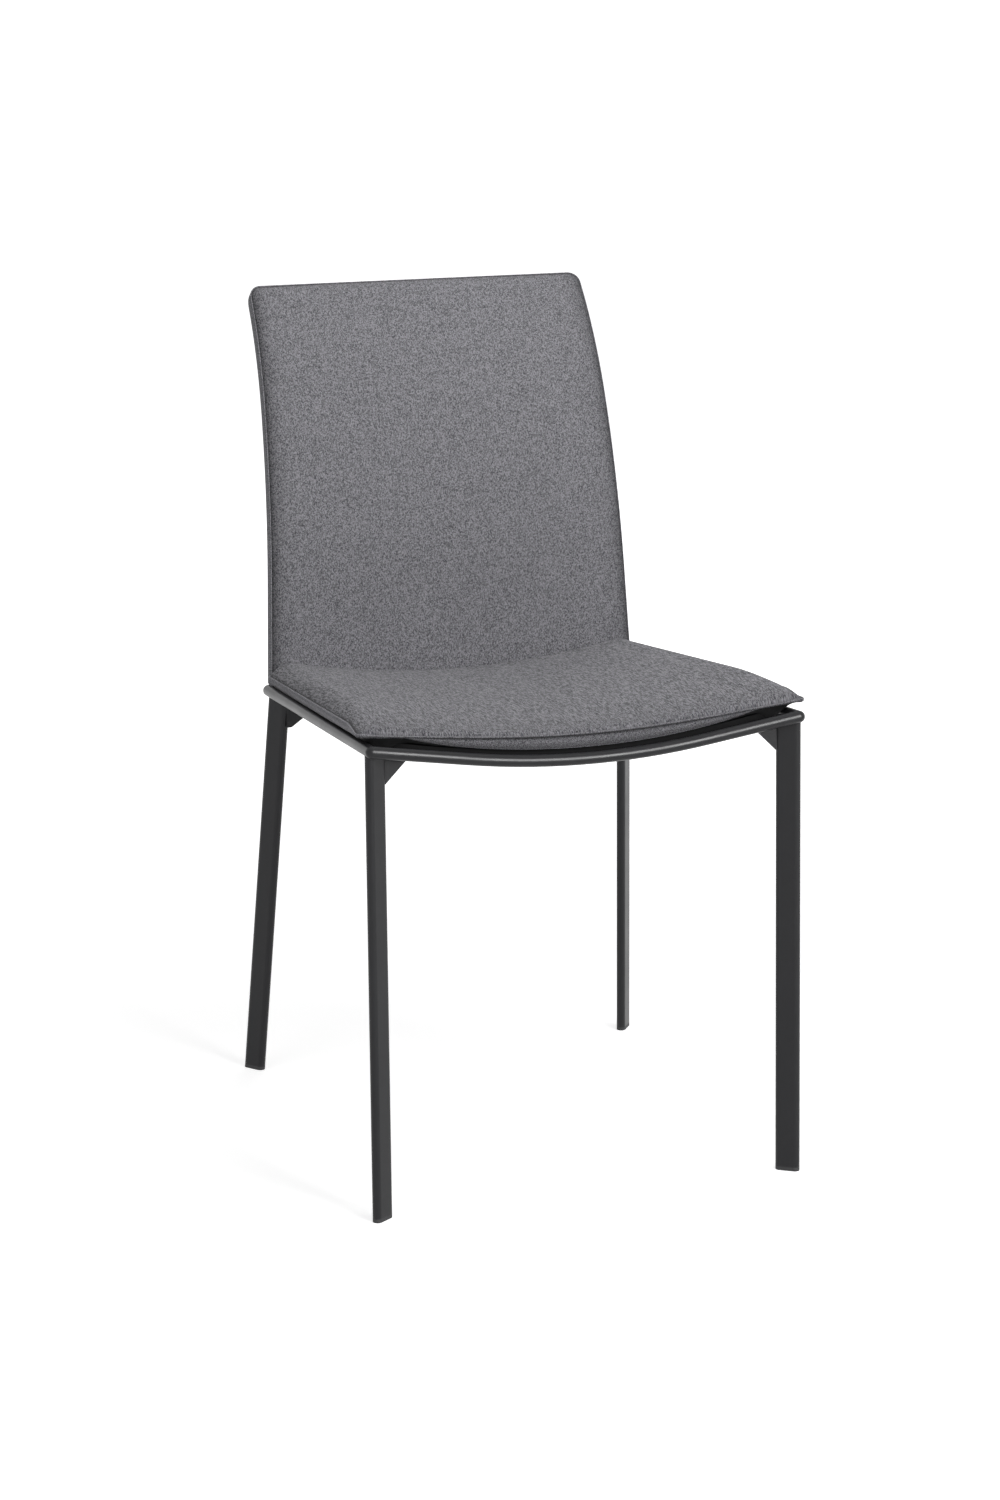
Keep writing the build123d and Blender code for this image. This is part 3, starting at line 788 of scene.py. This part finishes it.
class CHAIR_OT_back(bpy.types.Operator):
    """Make the padded back with its welt and its side and top band"""
    bl_idname = "chair.back"
    bl_label = "Back pad"

    def execute(self, context):
        """Crowned front panel, welt, band and flat reverse along the bent line of the back."""
        back = in_mm(context.scene.chair_back)
        below = 4.0
        high = BACK_LENGTH + FRONT_PANEL_RISE - back.welt
        across, along, upper = back_grid(back, -below, high, 111, 121)
        half = back_half(back, along)
        from_edge = np.minimum(half - np.abs(across), upper - along)
        recess = 0.6
        depth = recess - back_proud(back, from_edge, across / half) * rounded((upper - along) / TOP_ROUND)
        face = on_back(across, along, depth)
        # Painted shade along the sides and the top edge, where the front rolls into its seam
        face_painted_shade = (
            shade(half - np.abs(across), *BACK_SIDE_SHADE) + shade(upper - along, *BACK_TOP_SHADE))

        # The reverse lies on the board, and its lower edge is level with the seam's end.
        flat_across = across * REVERSE_SCALE
        flat_along = np.maximum(along, 0) * REVERSE_SCALE
        reverse = on_back(flat_across, flat_along, np.full(across.shape, back.thickness))

        rim_x, rim_s = rim_of(across), rim_of(along)
        normal_x, normal_s = outward(rim_x, rim_s)
        out, rise, rim_painted_shade = welt_profile(back.welt, 1.8)
        steps, bow = band_profile(0.9, 0.0)
        bow = bow + back.welt * 0.6
        band_s = rim_s + (np.maximum(rim_s, 0) - rim_s) * steps
        level = -rise[-1] + (back.thickness - 0.3 + rise[-1]) * steps
        rows = np.concatenate([
            on_back(rim_x + normal_x * out, rim_s + normal_s * out, -rise + np.zeros(rim_x.size)),
            on_back(rim_x + normal_x * bow, band_s + normal_s * bow, level + np.zeros(rim_x.size))])
        # Painted shade in the welt's grooves and a painted highlight on its crest, at 0.3 of it on the
        # welt's outer half; none on the band
        upper_rows = np.arange(len(rim_painted_shade))[:, None] < 5
        rim_painted_shade = np.concatenate([rim_painted_shade * np.where(upper_rows, 1, 0.3), np.zeros(steps.shape)])
        piece = pillow(
            "back_pad", face, rows, reverse, np.clip(face_painted_shade, 0, 1), rim_painted_shade,
            laid_out(across, along, BACK_WARP))
        swell(piece, from_edge, BACK_SWELL * MM)
        finish_pad(context, piece, "back_cover", "back_foam")
        return {"FINISHED"}


class CHAIR_OT_rear_panel(bpy.types.Operator):
    """Make the padded panel on the rear of the back"""
    bl_idname = "chair.rear_panel"
    bl_label = "Rear panel"

    def execute(self, context):
        """Crowned rear face, rounded edge and flat reverse behind the board."""
        back = in_mm(context.scene.chair_back)
        across, along, upper = back_grid(back, 0.0, BACK_LENGTH + REAR_PANEL_RISE - back.welt, 91, 101)
        half = back_half(back, along)
        start = back.thickness + 0.4
        edge = 1.7
        fall = rounded((half - np.abs(across)) / PANEL_ROUND)
        fall = fall * rounded((upper - along) / PANEL_ROUND) * rounded(along / PANEL_ROUND)
        depth = start + edge + back.rear_crown * (1 - np.abs(across / half) ** CROWN_POWER) * fall
        face = on_back(-across, along, depth)
        reverse = on_back(
            -across * REVERSE_SCALE, 2 + along * REVERSE_SCALE, np.full(across.shape, start))
        rim_x, rim_s = rim_of(across), rim_of(along)
        normal_x, normal_s = outward(rim_x, rim_s)
        out = np.array([0.4, 0.6, 0.5, 0.1])[:, None]
        level = start + np.array([1.3, 1.0, 0.6, 0.2])[:, None]
        rows = on_back(-rim_x - normal_x * out, rim_s + normal_s * out, level + np.zeros(rim_x.size))
        # Painted shade towards the panel's reverse, under its rounded edge
        rim_painted_shade = np.array([0.0, 0.0, 0.3, 0.8])[:, None]
        piece = pillow(
            "back_rear_panel", face, rows, reverse, np.zeros(across.shape), rim_painted_shade,
            laid_out(across, along, BACK_WARP))
        finish_pad(context, piece, "back_rear_cover")
        return {"FINISHED"}


def aimed(scene, name, data, spot, target):
    """Object in the scene for a lamp or camera, turned towards a point."""
    item = bpy.data.objects.new(name, data)
    item.location = spot
    item.rotation_mode = "QUATERNION"
    item.rotation_quaternion = (Vector(target) - Vector(spot)).to_track_quat("-Z", "Y")
    scene.collection.objects.link(item)
    return item


class CHAIR_OT_stage(bpy.types.Operator):
    """Make the pale floor, the soft lamps and the camera"""
    bl_idname = "chair.stage"
    bl_label = "Studio"

    def execute(self, context):
        """A wide floor, a key and a strip from the right, a fill from the left, lamps above and behind.

        The strip only shows as a reflection, and of the others only the key does.
        """
        scene = context.scene
        stage = scene.chair_stage
        corners = FLOOR_REACH * np.array([(-1, -1, 0), (1, -1, 0), (1, 1, 0), (-1, 1, 0)])
        floor = mesh_object("studio_floor", corners, [[0, 1, 2, 3]])
        floor.data.materials.append(studio_floor())
        for name, (spot, width, watts) in LAMPS.items():
            lamp = bpy.data.lights.new(name, "AREA")
            lamp.shape = "RECTANGLE"
            lamp.size, lamp.size_y = width
            lamp.energy = watts * stage.level
            item = aimed(scene, name, lamp, spot, LAMP_TARGET)
            item.visible_glossy = name in ("key_lamp", "strip_lamp")
            item.visible_diffuse = name != "strip_lamp"
        scene.world = studio_world(WORLD_LEVEL * stage.level)
        camera = bpy.data.cameras.new("camera")
        camera.lens = stage.lens
        scene.camera = aimed(scene, "camera", camera, stage.camera, stage.target)
        scene.view_settings.view_transform = "Standard"
        return {"FINISHED"}


def seen(tree):
    """1 for camera, glossy and transmission rays, 0 for the rays that light the object."""
    path = add_node(tree, "ShaderNodeLightPath").outputs
    either = add_node(tree, "ShaderNodeMath", {
        0: path["Is Camera Ray"], 1: path["Is Glossy Ray"]}, operation="MAXIMUM")
    return add_node(tree, "ShaderNodeMath", {
        0: either.outputs[0], 1: path["Is Transmission Ray"]}, operation="MAXIMUM").outputs[0]


def studio_floor():
    """White painted board that keeps the chair's shadow and turns to plain white further off."""
    material, tree, shader, spot = new_material("white_studio_board")
    shader.inputs["Base Color"].default_value = linear("#e6e6e6")
    shader.inputs["Roughness"].default_value = 0.9
    shader.inputs["Specular IOR Level"].default_value = 0.0
    away = add_node(tree, "ShaderNodeVectorMath", {0: spot}, operation="LENGTH").outputs["Value"]
    white = add_node(tree, "ShaderNodeMapRange", {
        "Value": away, 1: FLOOR_NEAR, 2: FLOOR_FAR, 3: FLOOR_GLOW, 4: 1.0})
    glow = add_node(tree, "ShaderNodeMath", {0: seen(tree), 1: white.outputs[0]}, operation="MULTIPLY")
    shader.inputs["Emission Color"].default_value = (1, 1, 1, 1)
    tree.links.new(glow.outputs[0], shader.inputs["Emission Strength"])
    return material


def studio_world(level):
    """Even pale surroundings, white where they are seen."""
    world = bpy.data.worlds.new("studio_world")
    world.use_nodes = True
    tree = world.node_tree
    tree.nodes.clear()
    strength = add_node(tree, "ShaderNodeMapRange", {"Value": seen(tree), 3: level, 4: 1.0})
    background = add_node(tree, "ShaderNodeBackground", {
        "Color": (1, 1, 1, 1), "Strength": strength.outputs[0]})
    add_node(tree, "ShaderNodeOutputWorld", {"Surface": background.outputs[0]})
    return world


class CHAIR_PT_panel(bpy.types.Panel):
    """Sizes, finishes and the steps that make the chair"""
    bl_idname = "CHAIR_PT_panel"
    bl_label = "Dining chair"
    bl_space_type = "VIEW_3D"
    bl_region_type = "UI"
    bl_category = "Chair"

    def draw(self, context):
        """Every setting, then every step."""
        for group in SETTINGS:
            box = self.layout.box()
            settings = getattr(context.scene, group)
            for key in settings.__annotations__:
                box.prop(settings, key)
        for operator in OPERATORS:
            self.layout.operator(operator.bl_idname)


SETTINGS = {
    "chair_seat": ChairSeatSettings,
    "chair_back": ChairBackSettings,
    "chair_screw": ChairScrewSettings,
    "chair_finish": ChairFinishSettings,
    "chair_stage": ChairStageSettings,
}
OPERATORS = (
    CHAIR_OT_stage, CHAIR_OT_finishes, CHAIR_OT_seat, CHAIR_OT_screws, CHAIR_OT_back, CHAIR_OT_rear_panel)


def register():
    """Adds the classes and their settings."""
    for item in (*SETTINGS.values(), *OPERATORS, CHAIR_PT_panel):
        bpy.utils.register_class(item)
    for name, group in SETTINGS.items():
        setattr(bpy.types.Scene, name, bpy.props.PointerProperty(type=group))


def unregister():
    """Takes the settings and classes away again."""
    for name in SETTINGS:
        delattr(bpy.types.Scene, name)
    for item in (CHAIR_PT_panel, *OPERATORS, *SETTINGS.values()):
        bpy.utils.unregister_class(item)


def main():
    """Makes everything in order."""
    register()
    bpy.ops.chair.stage()
    bpy.ops.chair.finishes()
    bpy.ops.chair.seat()
    bpy.ops.chair.screws()
    bpy.ops.chair.back()
    bpy.ops.chair.rear_panel()


if __name__ == "__main__":
    main()
